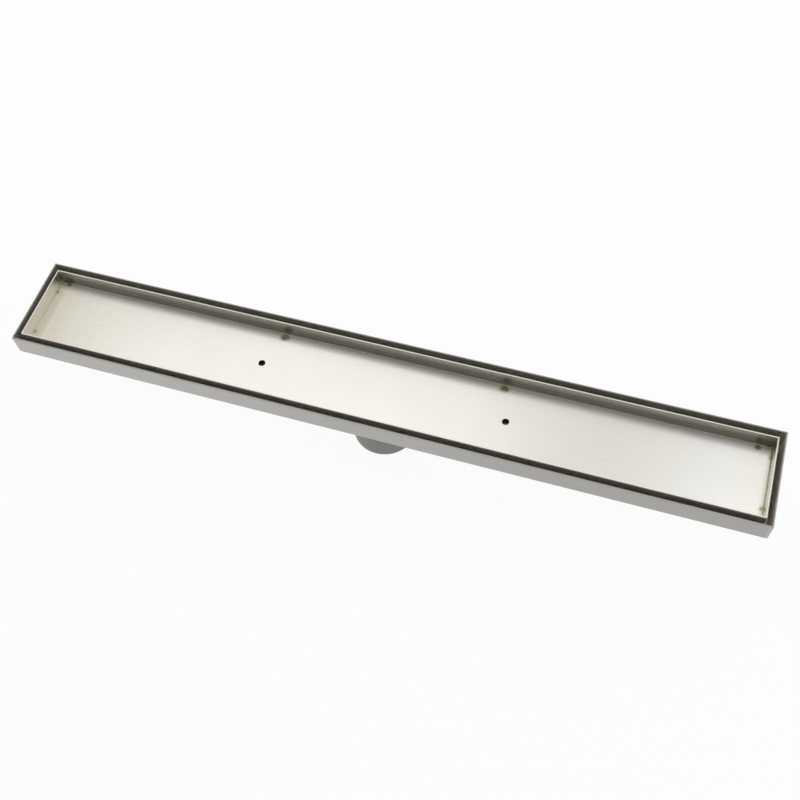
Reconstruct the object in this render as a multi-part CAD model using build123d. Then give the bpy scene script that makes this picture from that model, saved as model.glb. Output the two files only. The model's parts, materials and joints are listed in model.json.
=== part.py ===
"""Linear shower drain with a tile insert: channel, outlet spigot, tile tray and the feet under the tray.

Millimetres, +Z up, +X along the channel. The origin is the centre of the spigot's lower end.
"""
import os

from build123d import *

# Channel, folded from one sheet, with its four corners welded
channel_length = 800.0
channel_width = 104.0
channel_height = 28.0
channel_sheet = 1.5
channel_bend = 1.5

# Outlet: a collar pulled down from the channel floor and a tube welded to its end
spigot_diameter = 70.0
spigot_sheet = 1.5
spigot_drop = 65.0
collar_drop = 7.0
collar_bend = 2.5
seam_width = 3.0
seam_rise = 0.6
spigot_chamfer = 0.6

# Tile tray, folded like the channel and standing inside it with its rim level with the channel's
side_gap = 6.2
end_gap = 5.5
tray_depth = 18.5
tray_sheet = 1.5
tray_bend = 1.5
lift_hole_diameter = 7.5
lift_hole_spacing = 266.0

# Feet: short strips on edge, welded under the tray floor along its walls
foot_sheet = 2.0
foot_length = 18.0
foot_bend = 1.5
corner_foot_inset = 3.0
side_foot_inset = 5.8
side_foot_spacing = 244.0

# Sheet edges are deburred all round both rims
edge_break = 0.3

# Levels and sizes that follow from the values above
underside_z = spigot_drop
rim_z = underside_z + channel_height
channel_floor_z = underside_z + channel_sheet
tray_floor_z = rim_z - tray_depth
tray_underside_z = tray_floor_z - tray_sheet
seam_z = underside_z - collar_drop
foot_height = tray_underside_z - channel_floor_z
tray_length = channel_length - 2 * (channel_sheet + end_gap)
tray_width = channel_width - 2 * (channel_sheet + side_gap)
spigot_radius = spigot_diameter / 2

ON_BASE = (Align.CENTER, Align.CENTER, Align.MIN)


def fold_block(length, width, height, fold):
    """Block on z = 0 whose four floor edges are rounded to the fold radius."""
    block = Box(length, width, height, align=ON_BASE)
    return fillet(block.edges().group_by(Axis.Z)[0], fold)


def folded_pan(length, width, height, sheet, bend):
    """Open pan on z = 0, folded up from one sheet, with both edges of its rim broken."""
    outside = fold_block(length, width, height, bend + sheet)
    inside = fold_block(length - 2 * sheet, width - 2 * sheet, height, bend)
    pan = outside - Pos(0, 0, sheet) * inside
    return fillet(pan.edges().group_by(Axis.Z)[-1], edge_break)


def ring_edge(shape, radius, level):
    """The circular edge nearest to this radius and level."""
    circles = shape.edges().filter_by(GeomType.CIRCLE)
    return circles.sort_by(lambda edge: abs(edge.radius - radius) + abs(edge.center().Z - level))[0]


def make_channel():
    """Channel pan with the collar pulled down round its outlet hole."""
    pan = folded_pan(channel_length, channel_width, channel_height, channel_sheet, channel_bend)
    collar_bore = spigot_radius - channel_sheet
    collar = Pos(0, 0, seam_z) * Cylinder(spigot_radius, collar_drop + channel_sheet, align=ON_BASE)
    bore = Pos(0, 0, seam_z) * Cylinder(collar_bore, collar_drop + channel_sheet, align=ON_BASE)
    channel = Pos(0, 0, underside_z) * pan + collar - bore
    channel = fillet(ring_edge(channel, spigot_radius, underside_z), collar_bend)
    return fillet(ring_edge(channel, collar_bore, channel_floor_z), collar_bend + channel_sheet)


def make_spigot():
    """Outlet tube with the weld ring that joins it to the collar, standing a little proud of both."""
    tube = Cylinder(spigot_radius, seam_z, align=ON_BASE)
    tube = chamfer(ring_edge(tube, spigot_radius, 0), spigot_chamfer)
    weld = Pos(0, 0, seam_z) * Cylinder(spigot_radius + seam_rise, seam_width)
    weld = chamfer(weld.edges().filter_by(GeomType.CIRCLE), seam_rise)
    bore = Cylinder(spigot_radius - spigot_sheet, seam_z, align=ON_BASE)
    collar = Pos(0, 0, seam_z) * Cylinder(spigot_radius, collar_drop, align=ON_BASE)
    return tube + weld - bore - collar


def make_tray():
    """Tile tray with its two round holes for lifting it out."""
    tray = folded_pan(tray_length, tray_width, tray_depth + tray_sheet, tray_sheet, tray_bend)
    lift_hole = Cylinder(lift_hole_diameter / 2, tray_sheet, align=ON_BASE)
    for side in (-1, 1):
        tray -= Pos(side * lift_hole_spacing / 2, 0, 0) * lift_hole
    return Pos(0, 0, tray_underside_z) * tray


def make_corner_foot():
    """Strip bent square, its corner at the origin and its arms along -X and -Y."""
    along = Box(foot_length, foot_sheet, foot_height, align=(Align.MAX, Align.MAX, Align.MIN))
    across = Box(foot_sheet, foot_length, foot_height, align=(Align.MAX, Align.MAX, Align.MIN))
    foot = along + across
    upright = foot.edges().filter_by(Axis.Z).sort_by(lambda edge: edge.center().X + edge.center().Y)
    foot = fillet(upright[-1], foot_bend + foot_sheet)
    inside_corner = Vector(-foot_sheet, -foot_sheet, foot_height / 2)
    upright = foot.edges().filter_by(Axis.Z).sort_by(lambda edge: (edge.center() - inside_corner).length)
    return fillet(upright[0], foot_bend)


nodes = {
    "channel": make_channel(),
    "outlet_spigot": make_spigot(),
    "tile_tray": make_tray(),
}

foot_x = tray_length / 2 - corner_foot_inset
foot_y = tray_width / 2 - corner_foot_inset
corner_foot = make_corner_foot()
corners = [(foot_x, foot_y, 0), (-foot_x, foot_y, 90), (-foot_x, -foot_y, 180), (foot_x, -foot_y, 270)]
for number, (x, y, turn) in enumerate(corners, start=1):
    nodes[f"corner_foot_{number}"] = Pos(x, y, channel_floor_z) * Rot(0, 0, turn) * corner_foot

side_foot = Box(foot_length, foot_sheet, foot_height, align=ON_BASE)
side_foot_y = tray_width / 2 - side_foot_inset - foot_sheet / 2
for number, (side_x, side_y) in enumerate([(1, 1), (-1, 1), (-1, -1), (1, -1)], start=1):
    place = Pos(side_x * side_foot_spacing / 2, side_y * side_foot_y, channel_floor_z)
    nodes[f"side_foot_{number}"] = place * side_foot

os.makedirs("parts", exist_ok=True)
for name, shape in nodes.items():
    export_step(shape, f"parts/{name}.step")
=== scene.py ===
import json
import math

import bpy
from mathutils import Matrix, Vector


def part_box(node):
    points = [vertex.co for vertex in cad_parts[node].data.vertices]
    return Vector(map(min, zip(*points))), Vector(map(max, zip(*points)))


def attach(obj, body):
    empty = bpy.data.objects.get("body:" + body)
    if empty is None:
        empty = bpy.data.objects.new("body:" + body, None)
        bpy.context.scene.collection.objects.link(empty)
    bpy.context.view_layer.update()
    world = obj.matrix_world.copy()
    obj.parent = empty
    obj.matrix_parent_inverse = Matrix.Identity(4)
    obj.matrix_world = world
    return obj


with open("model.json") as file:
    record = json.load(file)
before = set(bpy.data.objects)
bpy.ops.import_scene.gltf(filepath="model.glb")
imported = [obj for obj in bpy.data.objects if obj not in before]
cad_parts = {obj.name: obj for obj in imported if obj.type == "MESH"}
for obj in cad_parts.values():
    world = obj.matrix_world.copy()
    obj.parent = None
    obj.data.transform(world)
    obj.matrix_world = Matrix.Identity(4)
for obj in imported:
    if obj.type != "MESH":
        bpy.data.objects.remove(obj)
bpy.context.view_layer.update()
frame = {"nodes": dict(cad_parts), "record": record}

# The channel is one stainless sheet folded up into a long open pan, its four corners welded and ground flush.
# The sheet is brushed along its length, so its grain runs along the long walls and upright on the ends.
# Its cut rim and its inside are dull, and the heat of the outlet's weld has tinted the collar.
mm = 0.001
mounts = {mount["name"]: mount for mount in frame["record"]["mounts"]}
channel_low, channel_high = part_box("channel")
channel_sheet = 1.5 * mm
channel_floor = mounts["bed_face"]["pos_m"][2] + channel_sheet
rim_deburr = 0.3 * mm
corner_grind = 4 * mm
end_facing = (0.5, 0.8)
collar_radius = 36 * mm
collar_surround = 8 * mm
weld_heat = 12 * mm
heat_start = 0.4
collar_unevenness = 0.3
tone_change = (-200 * mm, 300 * mm)
bright_end = (8 * mm, 2 * mm)
# The brush lines' two tones, partly painted shade: the channel is written darker than the tray, though both
# are the same steel.
channel_dark_line = (0.400, 0.392, 0.367)
channel_light_line = (0.480, 0.471, 0.442)
# The channel's painted light at its left end and painted shade at its right end.
channel_left_tone = (1.05, 1.045, 1.035)
channel_right_tone = (0.89, 0.89, 0.90)
channel_ground = (0.525, 0.515, 0.483)
channel_inside = (0.60, 0.575, 0.51)
# The inside of the channel's right end, painted lighter.
channel_end_inside = (0.86, 0.825, 0.735)
cut_edge = (0.44, 0.431, 0.406)
# The films that heat leaves on steel, by distance from the weld, and the distances over which they fade out.
brown_film = (0.29, 0.278, 0.21)
olive_film = (0.37, 0.358, 0.265)
straw_film = (0.78, 0.765, 0.46)
no_film = (1, 1, 1)
heat_films = ((0.0, brown_film), (0.45, olive_film), (0.75, straw_film))
film_fade = (0.4, 1.1)
# Finishes are given as patches to the metre along x, y and z, and reliefs in millimetres.
hairlines = (18, 2600, 1)
hairline_share = 0.5
drawn_lines = (5, 400, 1)
drawn_line_share = 0.6
grinding_scratches = (900, 900, 90)
grinding_cover = 0.6
channel_handling = (22, 22, 22)
channel_waves = (7, 7, 7)
channel_roughness = 0.34
channel_line_roughness = 0.10
channel_handled_roughness = 0.12
channel_inside_roughness = 0.28
channel_rim_roughness = 0.16
channel_line_relief = 0.02
channel_grinding_relief = 0.02
channel_wave_relief = 0.15


class Finish:
    """A socket in a finish's nodes. Sums on it add Math nodes, and node() adds a node of any other kind."""

    def __init__(self, tree, socket=None):
        self.tree = tree
        self.socket = socket

    def node(self, kind, settings=None, sockets=None, out=0):
        """Adds a node: its settings first, then its sockets' values or links. Gives one of its outputs."""
        added = self.tree.nodes.new(kind)
        for name, value in (settings or {}).items():
            if name == "stops":
                ramp = added.color_ramp.elements
                while len(ramp) < len(value):
                    ramp.new(1.0)
                for stop, (position, tone) in zip(ramp, value):
                    stop.position = position
                    stop.color = (*tone, 1.0)
            else:
                setattr(added, name, value)
        for name, value in (sockets or {}).items():
            if isinstance(value, Finish):
                self.tree.links.new(value.socket, added.inputs[name])
            else:
                added.inputs[name].default_value = value
        return Finish(self.tree, added.outputs[out] if added.outputs else None)

    def output(self, name):
        """Another output of the same node."""
        return Finish(self.tree, self.socket.node.outputs[name])

    def math(self, operation, *values):
        return self.node("ShaderNodeMath", {"operation": operation}, dict(enumerate(values)))

    def __add__(self, other):
        return self.math("ADD", self, other)

    __radd__ = __add__

    def __sub__(self, other):
        return self.math("SUBTRACT", self, other)

    def __rsub__(self, other):
        return self.math("SUBTRACT", other, self)

    def __mul__(self, other):
        return self.math("MULTIPLY", self, other)

    __rmul__ = __mul__

    def __truediv__(self, other):
        return self.math("DIVIDE", self, other)

    def __rtruediv__(self, other):
        return self.math("DIVIDE", other, self)

    def __abs__(self):
        return self.math("ABSOLUTE", self)

    def __lt__(self, other):
        return self.math("LESS_THAN", self, other)

    def __gt__(self, other):
        return self.math("GREATER_THAN", self, other)

    def vector(self, operation, *values):
        out = "Value" if operation == "LENGTH" else "Vector"
        return self.node("ShaderNodeVectorMath", {"operation": operation}, dict(enumerate(values)), out)

    def step(self, low, high):
        """Goes smoothly from 0 at low to 1 at high; low may be the larger."""
        ends = {"Value": self, "From Min": low, "From Max": high}
        return self.node("ShaderNodeMapRange", {"interpolation_type": "SMOOTHSTEP"}, ends)

    def blend(self, low, high):
        """Colour low where this is 0 and colour high where it is 1."""
        low, high = (tone if isinstance(tone, Finish) else (*tone, 1.0) for tone in (low, high))
        # The Mix node's two colours are its inputs 6 and 7, and the mixed colour is its output 2.
        return self.node("ShaderNodeMix", {"data_type": "RGBA"}, {"Factor": self, 6: low, 7: high}, out=2)


def bare_material(name):
    """A new material with no nodes, and the start of its nodes."""
    material = bpy.data.materials.new(name)
    material.use_nodes = True
    material.node_tree.nodes.clear()
    return material, Finish(material.node_tree)


def bare_steel(name):
    """A new material with no finish yet, and the x, y and z of a place on the steel."""
    material, start = bare_material(name)
    place = start.node("ShaderNodeTexCoord", out="Object")
    x = start.node("ShaderNodeSeparateXYZ", sockets={0: place})
    return material, x, x.output("Y"), x.output("Z")


def facing(x):
    """How far the steel faces up, from -1 to 1, and 1 where it faces along x and 0 elsewhere."""
    normal = x.node("ShaderNodeNewGeometry", out="Normal")
    face_x = x.node("ShaderNodeSeparateXYZ", sockets={0: normal})
    return face_x.output("Z"), abs(face_x).step(*end_facing)


def mottle(x, y, z, patches, detail=2.0):
    """Uneven patches from -0.5 to 0.5."""
    place = x.node("ShaderNodeCombineXYZ", sockets={0: x, 1: y, 2: z})
    noise = {"Vector": place.vector("MULTIPLY", place, patches), "Scale": 1.0, "Detail": detail}
    return x.node("ShaderNodeTexNoise", {"noise_dimensions": "3D"}, noise) - 0.5


def brush_lines(x, y, z, sheet_number):
    """Hairlines and broader drawn lines along the sheet, as they lay before its ends were folded up."""
    _, endwise = facing(x)
    along = x + z * endwise
    across = y + z * (1 - endwise)
    fine = mottle(along, across, sheet_number, hairlines, detail=3.0)
    broad = mottle(along, across, sheet_number + 0.5, drawn_lines)
    return fine * hairline_share + broad * drawn_line_share


def inside_pan(x, y, z, high, floor, sheet):
    """1 on the inner faces of a folded pan and 0 on its outer ones."""
    within_walls = (abs(x) < high.x - sheet / 2) * (abs(y) < high.y - sheet / 2)
    return within_walls * (z > floor - sheet / 2)


def cut_rim(z, high):
    """1 on the cut rim of a folded pan."""
    return z.step(high.z - 1.5 * rim_deburr, high.z - rim_deburr)


def temper(distance, colour):
    """The steel under the film that heat leaves round a weld, by the distance from it."""
    tint = distance.node("ShaderNodeValToRGB", {"stops": heat_films}, {"Fac": distance}, out="Color")
    film = distance.step(*film_fade).blend(tint, no_film)
    return colour.vector("MULTIPLY", colour, film)


def steel(material, colour, roughness, relief):
    """Gives the material its metal shader."""
    start = Finish(material.node_tree)
    bump = start.node("ShaderNodeBump", sockets={"Distance": mm, "Height": relief})
    metal = {"Base Color": colour, "Metallic": 1.0, "Roughness": roughness, "Normal": bump}
    start.node("ShaderNodeOutputMaterial", sockets={0: start.node("ShaderNodeBsdfPrincipled", sockets=metal)})
    return material


def dress(node, material):
    """Gives a solid its one material."""
    slots = frame["nodes"][node].data.materials
    slots.clear()
    slots.append(material)


channel_material, x, y, z = bare_steel("channel_steel_brushed")
lines = brush_lines(x, y, z, sheet_number=1.0)
handled = mottle(x, y, z, channel_handling, detail=3.0)
inside = inside_pan(x, y, z, channel_high, channel_floor, channel_sheet)
rim = cut_rim(z, channel_high)
near_end = abs(x).step(channel_high.x - corner_grind, channel_high.x - corner_grind / 2)
near_side = abs(y).step(channel_high.y - corner_grind, channel_high.y - corner_grind / 2)
ground = near_end * near_side
grinding = mottle(x + y, x - y, z, grinding_scratches)
# Partly painted shade: the brush lines' tones are darker than the tray's.
colour = (lines + 0.5).blend(channel_dark_line, channel_light_line)
# Painted light and shade: the sheet is made a little lighter towards its left end and a little darker towards
# its right.
colour = colour.vector("MULTIPLY", colour, x.step(*tone_change).blend(channel_left_tone, channel_right_tone))
colour = (ground * (grinding_cover + grinding)).blend(colour, channel_ground)
# Painted light: the inside of its right end is made brighter than the rest of its inside.
right_end = (channel_high.x - x).step(*bright_end)
colour = inside.blend(colour, right_end.blend(channel_inside, channel_end_inside))
colour = rim.blend(colour, cut_edge)
from_axis = x.math("SQRT", x * x + y * y)
from_collar = (from_axis - collar_radius).step(0, collar_surround)
from_weld = (z - channel_low.z) / weld_heat
colour = temper(heat_start + from_weld + from_collar + handled * collar_unevenness, colour)
roughness = channel_roughness + lines * channel_line_roughness + handled * channel_handled_roughness
roughness = roughness + inside * channel_inside_roughness + rim * channel_rim_roughness
relief = lines * (1 - ground) * channel_line_relief + grinding * ground * channel_grinding_relief
relief = relief + mottle(x, y, z, channel_waves) * channel_wave_relief
dress("channel", steel(channel_material, colour, roughness, relief))

# The outlet is a short stainless tube pushed up against the collar and welded to it all round.
# It is pickled to a dull even grey and written darker still as painted shade from the channel above, with
# faint drawing lines down it, and its lower end is cut and chamfered.
spigot_radius = mounts["outlet_spigot"]["dims"]["r_mm"] * mm
seam_level = channel_low.z
chamfer_height = 0.7 * mm
chamfer_blend = 0.3 * mm
spigot_dark = (0.201, 0.206, 0.191)
spigot_light = (0.244, 0.245, 0.227)
spigot_unevenness = 0.15
spigot_drawing = (900, 900, 25)
spigot_drawing_share = 0.8
spigot_pickling = (130, 130, 130)
spigot_roughness = 0.46
spigot_pickled_roughness = 0.15
spigot_drawing_relief = 0.012
spigot_pickled_relief = 0.02

spigot_material, x, y, z = bare_steel("spigot_steel_pickled")
drawing = mottle(x, y, z, spigot_drawing)
pickled = mottle(x, y, z, spigot_pickling, detail=3.0)
# The tube's two greys are partly painted shade, for the shade under the channel.
colour = (drawing * spigot_drawing_share + pickled + 0.5).blend(spigot_dark, spigot_light)
chamfered = z.step(chamfer_height + chamfer_blend, chamfer_height)
colour = chamfered.blend(colour, cut_edge)
from_weld = (seam_level - z) / weld_heat
colour = temper(heat_start + from_weld + pickled * spigot_unevenness, colour)
roughness = spigot_roughness + pickled * spigot_pickled_roughness
relief = drawing * spigot_drawing_relief + pickled * spigot_pickled_relief
dress("outlet_spigot", steel(spigot_material, colour, roughness, relief))

# The outlet's weld is a bead laid in one pass round the seam, so it is a row of small overlapping ripples.
# It is bare weld metal, brighter than the tube, with a thin straw and brown film from the heat.
bead_ripple = 1.6 * mm
rings_per_ripple = 5
bead_sides = 12
ripple_fall = 0.22
ripple_curve = 0.45
ripple_narrowing = 0.3
root_share = 1 / 3
end_squareness = 6
end_height = 0.05
seam_half_width = 2.1 * mm
seam_rise = 1.15 * mm
bead_bare = (0.50, 0.48, 0.43)
bead_film = (0.34, 0.28, 0.16)
bead_film_share = 0.45
bead_film_contrast = 1.6
bead_patches = (300, 300, 300)
bead_roughness = 0.3
bead_film_roughness = 0.2
bead_relief = 0.02


def weld_bead(name, place_at, length, half_width, rise, closed):
    """Rippled bead along a seam; place_at gives its point, outward and crosswise at a distance."""
    ripples = round(length / bead_ripple)
    count = ripples * rings_per_ripple
    rings = count if closed else count + 1
    vertices = []
    for ring in range(rings):
        along = length * ring / count
        swell = 1 - ripple_fall * (ring % rings_per_ripple) / rings_per_ripple
        if not closed:
            swell *= math.sqrt(max(end_height, 1 - (2 * ring / count - 1) ** end_squareness))
        for side in range(bead_sides):
            turn = math.tau * side / bead_sides
            sideways, height = math.cos(turn), math.sin(turn)
            point, outward, crosswise = place_at(along - ripple_curve * bead_ripple * sideways * sideways)
            width = half_width * swell ** ripple_narrowing
            depth = rise * swell if height > 0 else rise * root_share
            vertices.append(point + crosswise * (width * sideways) + outward * (depth * height))
    faces = []
    for ring in range(count):
        first, second = ring * bead_sides, (ring + 1) % rings * bead_sides
        for side in range(bead_sides):
            after = (side + 1) % bead_sides
            faces.append((first + side, first + after, second + after, second + side))
    if not closed:
        faces.append(tuple(reversed(range(bead_sides))))
        faces.append(tuple(range(count * bead_sides, rings * bead_sides)))
    mesh = bpy.data.meshes.new(name)
    mesh.from_pydata(vertices, [], faces)
    mesh.shade_smooth()
    mesh.validate()
    bead = bpy.data.objects.new(name, mesh)
    bpy.context.scene.collection.objects.link(bead)
    return bead


def seam_place(distance):
    """The outlet's seam at a distance round it."""
    angle = distance / spigot_radius
    outward = Vector((math.cos(angle), math.sin(angle), 0))
    return outward * spigot_radius + Vector((0, 0, seam_level)), outward, Vector((0, 0, 1))


bead_material, x, y, z = bare_steel("weld_bead_bare")
film = mottle(x, y, z, bead_patches, detail=3.0)
colour = (film * bead_film_contrast + bead_film_share).blend(bead_bare, bead_film)
bead_material = steel(bead_material, colour, bead_roughness + film * bead_film_roughness, film * bead_relief)
seam_length = math.tau * spigot_radius
outlet_bead = weld_bead("outlet_weld", seam_place, seam_length, seam_half_width, seam_rise, closed=True)
outlet_bead.data.materials.append(bead_material)
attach(outlet_bead, "root")

# The tile tray is a second folded pan that stands loose in the channel, its rim level with the channel's.
# It is written brighter than the channel, whose darker tone is partly painted shade. The floor strip by its
# back wall is rougher, as the belt didn't reach it, and lighter as painted light. Two holes take a hook.
# Its feet are welded on from below, and the heat has left a small straw and brown mark above each weld.
_, tray_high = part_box("tile_tray")
tray_floor = mounts["tile_face"]["pos_m"][2]
tray_sheet = 1.5 * mm
unbrushed = 17 * mm
wall_facing = (0.99, 0.9)
floor_facing = (0.9, 1.0)
fold_shade = 7 * mm
dull_top = (7 * mm, 1 * mm)
straw_ends = (345 * mm, 385 * mm)
browned_corner = (22 * mm, 6 * mm)
tray_dark_line = (0.594, 0.575, 0.500)
tray_light_line = (0.646, 0.625, 0.544)
tray_fold = (0.37, 0.36, 0.325)
tray_top = (0.97, 0.955, 0.89)
tray_end = (0.735, 0.712, 0.615)
tray_dull = (0.93, 0.90, 0.81)
tray_rim = (0.72, 0.70, 0.65)
tray_outside = (0.62, 0.595, 0.53)
end_straw = (0.975, 0.968, 0.92)
corner_brown = (0.57, 0.56, 0.5)
tray_handling = (14, 14, 14)
tray_waves = (9, 9, 9)
ragged_edges = (260, 260, 260)
tray_roughness = 0.28
tray_line_roughness = 0.06
tray_handled_roughness = 0.06
tray_dull_roughness = 0.15
tray_mark_roughness = 0.12
tray_top_roughness = 0.25
tray_rim_roughness = 0.1
tray_outside_roughness = 0.2
tray_line_relief = 0.006
tray_end_line_relief = 0.0024
tray_wave_relief = 0.12
mark_depth = 5 * mm
mark_edge = (1.0, 0.5)
mark_raggedness = 0.5
no_mark = 9.0
# Each mark's place, half its length and half its width in millimetres, and how faint it is.
weld_marks = [
    (-383.0, 40.2, 7.5, 6.0, 0.25),
    (-120.3, 37.1, 8.8, 6.0, 0.0),
    (122.3, 37.3, 8.8, 6.0, 0.02),
    (377.4, 38.2, 6.8, 5.0, 0.1),
    (387.0, 42.8, 7.0, 5.0, 0.55),
    (390.6, 30.3, 6.5, 8.0, 0.42),
    (389.8, -26.9, 6.5, 8.0, 0.4),
    (-391.3, 26.5, 5.5, 7.0, 0.47),
    (-391.0, -28.5, 5.5, 7.0, 0.44),
    (-380.0, -39.5, 8.0, 6.0, 0.1),
    (-121.0, -38.6, 8.8, 5.6, 0.0),
    (123.0, -38.4, 8.8, 5.6, 0.1),
    (379.0, -39.5, 8.0, 6.0, 0.0),
]

tray_material, x, y, z = bare_steel("tray_steel_brushed")
face_up, endwise = facing(x)
upright = face_up.step(*wall_facing)
long_wall = upright * (1 - endwise)
end_wall = upright * endwise
lines = brush_lines(x, y, z, sheet_number=2.0)
handled = mottle(x, y, z, tray_handling, detail=3.0)
inside = inside_pan(x, y, z, tray_high, tray_floor, tray_sheet)
rim = cut_rim(z, tray_high)
near_back = y.step(tray_high.y - tray_sheet - unbrushed, tray_high.y - 2 * tray_sheet)
# Painted light: the floor strip by the back wall is lighter, and rougher where the belt didn't reach.
dull = near_back * face_up.step(*floor_facing)
near_top = long_wall * (tray_high.z - z).step(*dull_top)
# Painted shade and light: the long walls are darker by the fold and lighter towards the top.
up_the_wall = z.step(tray_floor + fold_shade, tray_high.z).blend(tray_fold, tray_top)
# Painted shade: the long walls are darkened, with a slight brown tint, beside the corners.
corner_heat = (tray_high.x - abs(x)).step(*browned_corner).blend(no_film, corner_brown)
up_the_wall = up_the_wall.vector("MULTIPLY", up_the_wall, corner_heat)
colour = (lines + 0.5).blend(tray_dark_line, tray_light_line)
# Heat from the corner feet has spread a trace of straw along the floor's two ends.
colour = colour.vector("MULTIPLY", colour, abs(x).step(*straw_ends).blend(no_film, end_straw))
colour = long_wall.blend(colour, up_the_wall)
colour = end_wall.blend(colour, tray_end)
colour = dull.blend(colour, tray_dull)
colour = inside.blend(tray_outside, colour)
place = x.node("ShaderNodeCombineXYZ", sockets={0: x, 1: y, 2: z})
spot = no_mark
for mark_x, mark_y, half_length, half_width, faint in weld_marks:
    spread = (1 / (half_length * mm), 1 / (half_width * mm), 1 / mark_depth)
    middle = (-mark_x / half_length, -mark_y / half_width, -tray_floor / mark_depth)
    away = place.vector("LENGTH", place.vector("MULTIPLY_ADD", place, spread, middle))
    spot = away.math("MINIMUM", away + faint, spot)
spot = spot + mottle(x, y, z, ragged_edges) * mark_raggedness
colour = temper(spot, colour)
colour = rim.blend(colour, tray_rim)
roughness = tray_roughness + lines * tray_line_roughness + handled * tray_handled_roughness
roughness = roughness + dull * tray_dull_roughness + spot.step(*mark_edge) * tray_mark_roughness
roughness = roughness + near_top * tray_top_roughness + rim * tray_rim_roughness
roughness = roughness + (1 - inside) * tray_outside_roughness
relief = lines * (tray_line_relief - end_wall * (tray_line_relief - tray_end_line_relief))
relief = relief + mottle(x, y, z, tray_waves) * tray_wave_relief
dress("tile_tray", steel(tray_material, colour, roughness, relief))

# Eight feet of flat strip carry the tray above the channel's floor, four of them bent square for its corners.
# They keep the even shine of rolled strip, dulled a little where water stands round them.
foot_dark = (0.43, 0.425, 0.405)
foot_light = (0.53, 0.52, 0.50)
foot_rolling = (160, 160, 900)
foot_roughness = 0.36
foot_rolled_roughness = 0.15
foot_relief = 0.01

foot_material, x, y, z = bare_steel("foot_steel_rolled")
rolled = mottle(x, y, z, foot_rolling, detail=3.0)
colour = (rolled + 0.5).blend(foot_dark, foot_light)
roughness = foot_roughness + rolled * foot_rolled_roughness
foot_material = steel(foot_material, colour, roughness, rolled * foot_relief)
for number in (1, 2, 3, 4):
    dress(f"corner_foot_{number}", foot_material)
    dress(f"side_foot_{number}", foot_material)

# Each foot is held by short fillet welds in the corner between its inner face and the tray's underside.
# They are the same bare weld metal as the outlet's bead, one on a straight foot and two on a bent one.
foot_sheet = 2 * mm
foot_weld_length = 10 * mm
foot_weld_half_width = 1.4 * mm
foot_weld_rise = 1.0 * mm
lengthways = Vector((1, 0, 0))
crossways = Vector((0, 1, 0))
down = Vector((0, 0, -1))


def foot_weld(name, corner, along, inward):
    """Bead along the corner of a foot and the tray, with its middle at the given point."""
    outward = (inward + down).normalized()
    crosswise = outward.cross(along)

    def place_at(distance):
        return corner + along * (distance - foot_weld_length / 2), outward, crosswise

    bead = weld_bead(name, place_at, foot_weld_length, foot_weld_half_width, foot_weld_rise, closed=False)
    bead.data.materials.append(bead_material)
    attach(bead, "root")


for number in (1, 2, 3, 4):
    low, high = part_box(f"side_foot_{number}")
    middle = (low + high) / 2
    inward = crossways * -math.copysign(1, middle.y)
    corner = Vector((middle.x, middle.y, high.z)) + inward * (foot_sheet / 2)
    foot_weld(f"side_foot_weld_{number}", corner, lengthways, inward)
    low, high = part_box(f"corner_foot_{number}")
    middle, reach = (low + high) / 2, (high - low) / 2
    inward = lengthways * -math.copysign(1, middle.x)
    corner = Vector((middle.x, middle.y, high.z)) - inward * (reach.x - foot_sheet)
    foot_weld(f"corner_foot_end_weld_{number}", corner, crossways, inward)
    inward = crossways * -math.copysign(1, middle.y)
    corner = Vector((middle.x, middle.y, high.z)) - inward * (reach.y - foot_sheet)
    foot_weld(f"corner_foot_side_weld_{number}", corner, lengthways, inward)

# The studio is a plain white floor in even white light, with three soft boxes above and behind the drain.
# A grey card bent over the camera gives the tray's far wall something dark to mirror.
# A cream card hung past the soft boxes warms the tray's left end.
floor_sides = (-8.0, 8.0)
floor_rows = [(-8.0, 0.0), (8.0, 0.0)]
floor_white = (0.9, 0.9, 0.9, 1)
floor_glow = 0.94
card_roughness = 0.9
grey_rows = [(-0.25, 2.5), (-1.4, 2.2), (-2.4, 1.4), (-2.9, 0.3)]
cream_rows = [(0.0, 2.6), (2.0, 2.6)]
# Each card's name, its finish and colour, its two sides in x, and its rows of y and z.
cards = [
    ("dark_card", "card_grey", (0.29, 0.29, 0.29, 1), (-3.2, 2.0), grey_rows),
    ("cream_card", "card_cream", (0.92, 0.86, 0.68, 1), (-3.6, -2.05), cream_rows),
]
# Each soft box's name, middle, width, depth, brightness when it is looked at, and tint.
soft_boxes = [
    ("top_soft_box", (0.10, 0.90, 2.35), 3.90, 1.0, 0.07, (0.92, 0.92, 1.0)),
    ("main_soft_box", (-0.83, 0.86, 2.2), 1.60, 1.0, 0.90, (0.765, 0.78, 0.985)),
    ("right_soft_box", (0.77, 0.86, 2.2), 0.58, 1.0, 1.25, (0.66, 0.69, 0.97)),
]


def flat_piece(name, sides, rows, material):
    """A flat or bent panel of the studio, between two sides in x and along rows of y and z."""
    corners = [(side, y, z) for y, z in rows for side in sides]
    faces = [(corner, corner + 1, corner + 3, corner + 2) for corner in range(0, len(corners) - 2, 2)]
    mesh = bpy.data.meshes.new(name)
    mesh.from_pydata(corners, [], faces)
    mesh.materials.append(material)
    panel = bpy.data.objects.new(name, mesh)
    bpy.context.scene.collection.objects.link(panel)
    return panel


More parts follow.
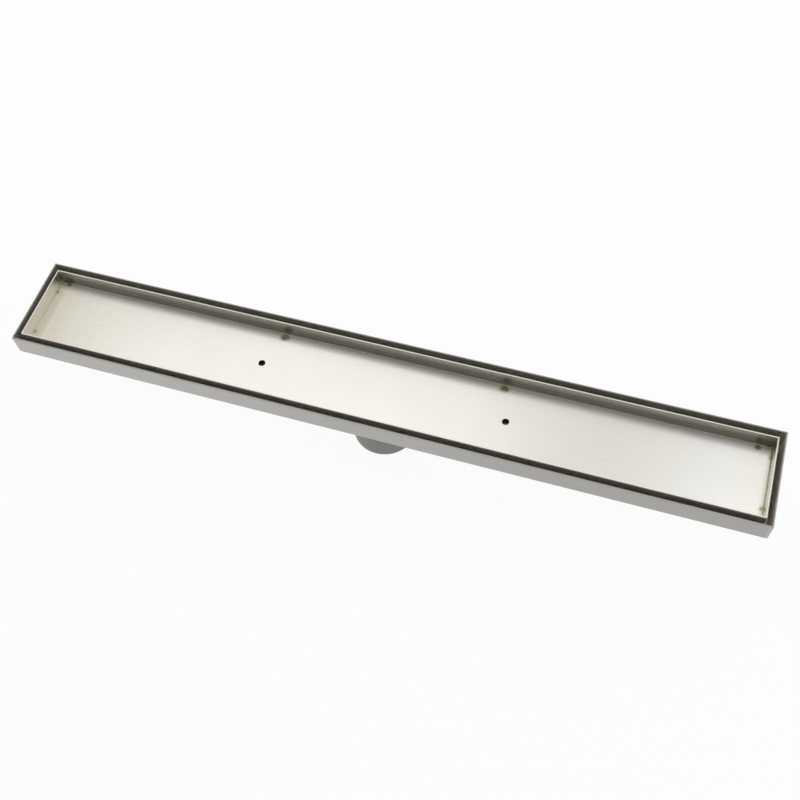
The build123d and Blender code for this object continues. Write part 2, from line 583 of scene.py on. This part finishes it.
floor_material, start = bare_material("studio_white")
ray = start.node("ShaderNodeLightPath", out="Is Camera Ray")
seen = ray + ray.output("Is Glossy Ray") + ray.output("Is Transmission Ray")
matt = start.node("ShaderNodeBsdfDiffuse", sockets={"Color": floor_white})
white = start.node("ShaderNodeEmission", sockets={"Strength": 1.0})
both = start.node("ShaderNodeMixShader", sockets={0: seen * floor_glow, 1: matt, 2: white})
start.node("ShaderNodeOutputMaterial", sockets={0: both})
flat_piece("studio_floor", floor_sides, floor_rows, floor_material)

for name, finish, tone, sides, rows in cards:
    card_material, start = bare_material(finish)
    paper = start.node("ShaderNodeBsdfPrincipled", sockets={"Base Color": tone, "Roughness": card_roughness})
    start.node("ShaderNodeOutputMaterial", sockets={0: paper})
    card = flat_piece(name, sides, rows, card_material)
    card.visible_camera = False

world = bpy.data.worlds.new("studio")
bpy.context.scene.world = world
world.use_nodes = True
world.node_tree.nodes["Background"].inputs["Color"].default_value = (1, 1, 1, 1)
world.node_tree.nodes["Background"].inputs["Strength"].default_value = 1.0

for name, middle, width, depth, brightness, tint in soft_boxes:
    light = bpy.data.lights.new(name, "AREA")
    light.shape = "RECTANGLE"
    light.size = width
    light.size_y = depth
    light.color = tint
    light.energy = brightness * math.pi * width * depth
    lamp = bpy.data.objects.new(name, light)
    lamp.location = middle
    bpy.context.scene.collection.objects.link(lamp)

# The camera stands in front of the drain and to its right, about a metre up.
# It looks down at the drain through a normal lens, with a slight roll.
lens_mm = 46.915
sensor_mm = 36.0
rim_middle = Vector((0, 0, channel_high.z))
eye = rim_middle + Vector((239.31, -502.18, 907.34)) * mm
target = rim_middle + Vector((26.69, -14.10, 0)) * mm
roll = math.radians(-6.984)
camera_data = bpy.data.cameras.new("camera")
camera_data.lens = lens_mm
camera_data.sensor_width = sensor_mm
camera = bpy.data.objects.new("camera", camera_data)
level = (target - eye).to_track_quat("-Z", "Y").to_matrix().to_4x4()
camera.matrix_world = Matrix.Translation(eye) @ level @ Matrix.Rotation(roll, 4, "Z")
bpy.context.scene.collection.objects.link(camera)
bpy.context.scene.camera = camera
bpy.context.scene.view_settings.view_transform = "Standard"
